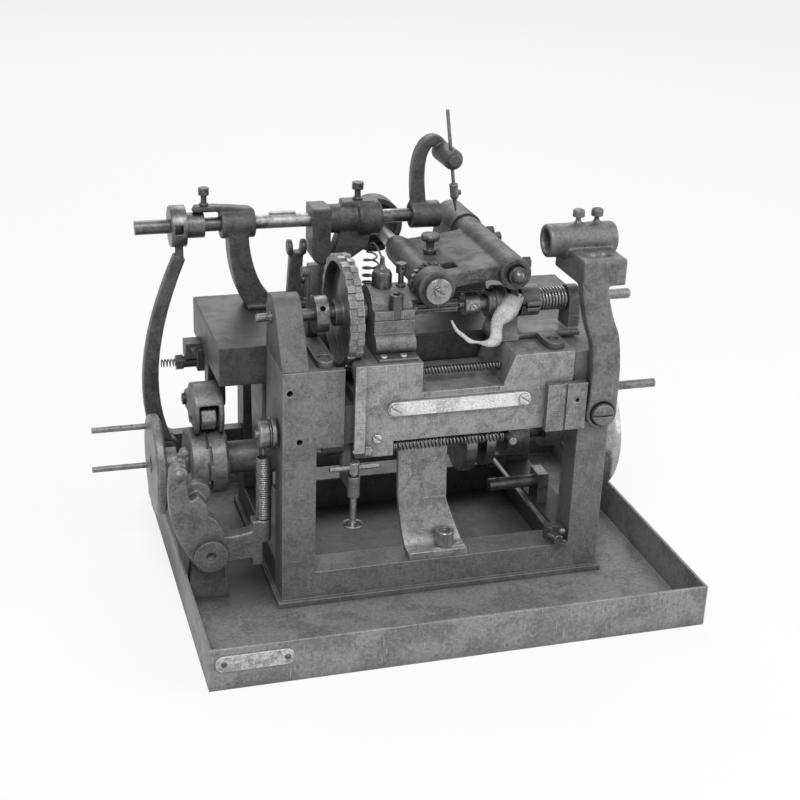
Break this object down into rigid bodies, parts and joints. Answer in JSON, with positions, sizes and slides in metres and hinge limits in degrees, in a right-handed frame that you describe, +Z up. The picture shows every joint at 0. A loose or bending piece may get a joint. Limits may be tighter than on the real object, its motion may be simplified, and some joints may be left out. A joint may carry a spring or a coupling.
{
  "type": "pinion cutting machine",
  "caption": "Bench pinion cutter: sliding work carriage with index wheel, rocking cutter head, camshaft, bell crank and overhead shaft on an iron frame in a drip tray.",
  "frame": {"origin": "middle of the tray's flat underside", "axes": "+X along the work spindle to the right, +Y from front to back, +Z up"},
  "size_m": [0.378, 0.27, 0.3059],
  "materials": {
    "tray_steel": "dull dark sheet steel with an oily film",
    "frame_iron": "old cast iron, matt",
    "bed_iron": "dark oiled cast iron",
    "machined_iron": "machined iron, satin and worn",
    "steel": "turned steel, tarnished",
    "bright_steel": "bright turned steel with stains",
    "spring_steel": "drawn spring wire, dull"
  },
  "bodies": {
    "frame": {"tray": "tray_steel", "front_frame": "frame_iron", "back_frame": "frame_iron", "side_rails": "frame_iron", "bed_plate": "bed_iron", "spindle_ear": "frame_iron", "keeper_lug": "machined_iron", "shaft_hangers": "frame_iron", "foot_bracket": "machined_iron", "frame_screws": "bright_steel", "left_dog": "machined_iron", "overhead_arm": "bed_iron", "overhead_bracket": "bed_iron", "overhead_screws": "steel", "spring_studs": "steel", "crank_stand": "frame_iron", "lever_bracket": "bed_iron", "adjust_stop": "bed_iron", "frame_rods": "steel", "clamp_bracket": "machined_iron", "head_pedestal": "bed_iron", "pivot_shaft": "bright_steel", "follower_bracket": "bed_iron"},
    "work_carriage": {"carriage": "machined_iron", "tie_strap": "bright_steel", "carriage_screws": "bright_steel", "headstock_block": "machined_iron", "headstock_cap": "machined_iron", "headstock_fittings": "steel", "tail_bearing": "machined_iron", "right_dog": "machined_iron", "upper_spring": "spring_steel", "carriage_spring": "spring_steel"},
    "spindle": {"work_spindle": "steel", "index_wheel": "bright_steel", "spindle_collar": "steel"},
    "latch": {"index_latch": "bright_steel"},
    "tail": {"tail_spindle": "bright_steel", "tail_clamp": "steel", "tail_spring": "spring_steel"},
    "cam_drive": {"camshaft": "steel", "crank_disc": "steel", "barrel_cam": "bright_steel", "drum_cams": "steel", "belt_wheel": "steel"},
    "head": {"cutter_cradle": "machined_iron", "head_fittings": "steel"},
    "cutter_drive": {"cutter_spindle": "bright_steel", "cutter": "bright_steel", "drive_pulley": "bed_iron"},
    "slide_shaft": {"overhead_shaft": "steel", "gooseneck": "bed_iron"},
    "lever": {"shift_lever": "bed_iron"},
    "pointer": {"pointer_rod": "steel"},
    "swing_arm": {"bracket_arm": "machined_iron"},
    "crank": {"bell_crank": "machined_iron", "crank_spring": "spring_steel"},
    "follower": {"follower_arm": "machined_iron"},
    "roller": {"follower_roller": "bright_steel"},
    "handle": {"t_handle": "bright_steel"}
  },
  "joints": [
    {"name": "carriage_slide", "type": "slide", "parent": "frame", "child": "work_carriage", "axis": [-1, 0, 0], "range_m": [0, 0.005], "stiffness_N_per_m": 200, "deforming": ["carriage_spring"]},
    {"name": "spindle_spin", "type": "hinge", "parent": "work_carriage", "child": "spindle", "pos_m": [0, -0.017, 0.1933], "axis": [1, 0, 0], "continuous": true},
    {"name": "latch_swing", "type": "hinge", "parent": "work_carriage", "child": "latch", "pos_m": [-0.0535, -0.05725, 0.113], "axis": [1, 0, 0], "range_deg": [0, 8]},
    {"name": "tail_slide", "type": "slide", "parent": "work_carriage", "child": "tail", "axis": [1, 0, 0], "range_m": [0, 0.0045], "stiffness_N_per_m": 400, "deforming": ["tail_spring"]},
    {"name": "cam_spin", "type": "hinge", "parent": "frame", "child": "cam_drive", "pos_m": [0, 0.022, 0.079], "axis": [1, 0, 0], "continuous": true},
    {"name": "head_rock", "type": "hinge", "parent": "frame", "child": "head", "pos_m": [0.053, 0, 0.2195], "axis": [0, 1, 0], "range_deg": [0, 6]},
    {"name": "cutter_spin", "type": "hinge", "parent": "head", "child": "cutter_drive", "pos_m": [0.0015, 0, 0.211], "axis": [0, 1, 0], "continuous": true},
    {"name": "shaft_slide", "type": "slide", "parent": "frame", "child": "slide_shaft", "axis": [-1, 0, 0], "range_m": [0, 0.008]},
    {"name": "lever_swing", "type": "hinge", "parent": "frame", "child": "lever", "pos_m": [-0.158, 0.075, 0.066], "axis": [0, -1, 0], "range_deg": [0, 3.2]},
    {"name": "pointer_slide", "type": "slide", "parent": "slide_shaft", "child": "pointer", "axis": [0.1339, 0, -0.991], "range_m": [-0.01, 0.007]},
    {"name": "arm_swing", "type": "hinge", "parent": "frame", "child": "swing_arm", "pos_m": [0.112, -0.057, 0.126], "axis": [0, 1, 0], "range_deg": [0, 50]},
    {"name": "crank_rock", "type": "hinge", "parent": "frame", "child": "crank", "pos_m": [-0.147, -0.035, 0.04], "axis": [0, 1, 0], "range_deg": [-4, 4], "stiffness_Nm_per_rad": 2, "deforming": ["crank_spring"]},
    {"name": "follower_lift", "type": "hinge", "parent": "frame", "child": "follower", "pos_m": [-0.138, 0.05, 0.113], "axis": [-1, 0, 0], "range_deg": [0, 6]},
    {"name": "roller_spin", "type": "hinge", "parent": "follower", "child": "roller", "pos_m": [-0.138, 0.021, 0.1124], "axis": [1, 0, 0], "continuous": true},
    {"name": "handle_turn", "type": "hinge", "parent": "frame", "child": "handle", "pos_m": [-0.058, -0.063, 0.1], "axis": [0, 0, 1], "continuous": true}
  ],
  "couplings": [
    {"joint": "lever_swing", "follows": "shaft_slide", "rad_per_m": 6.667}
  ]
}
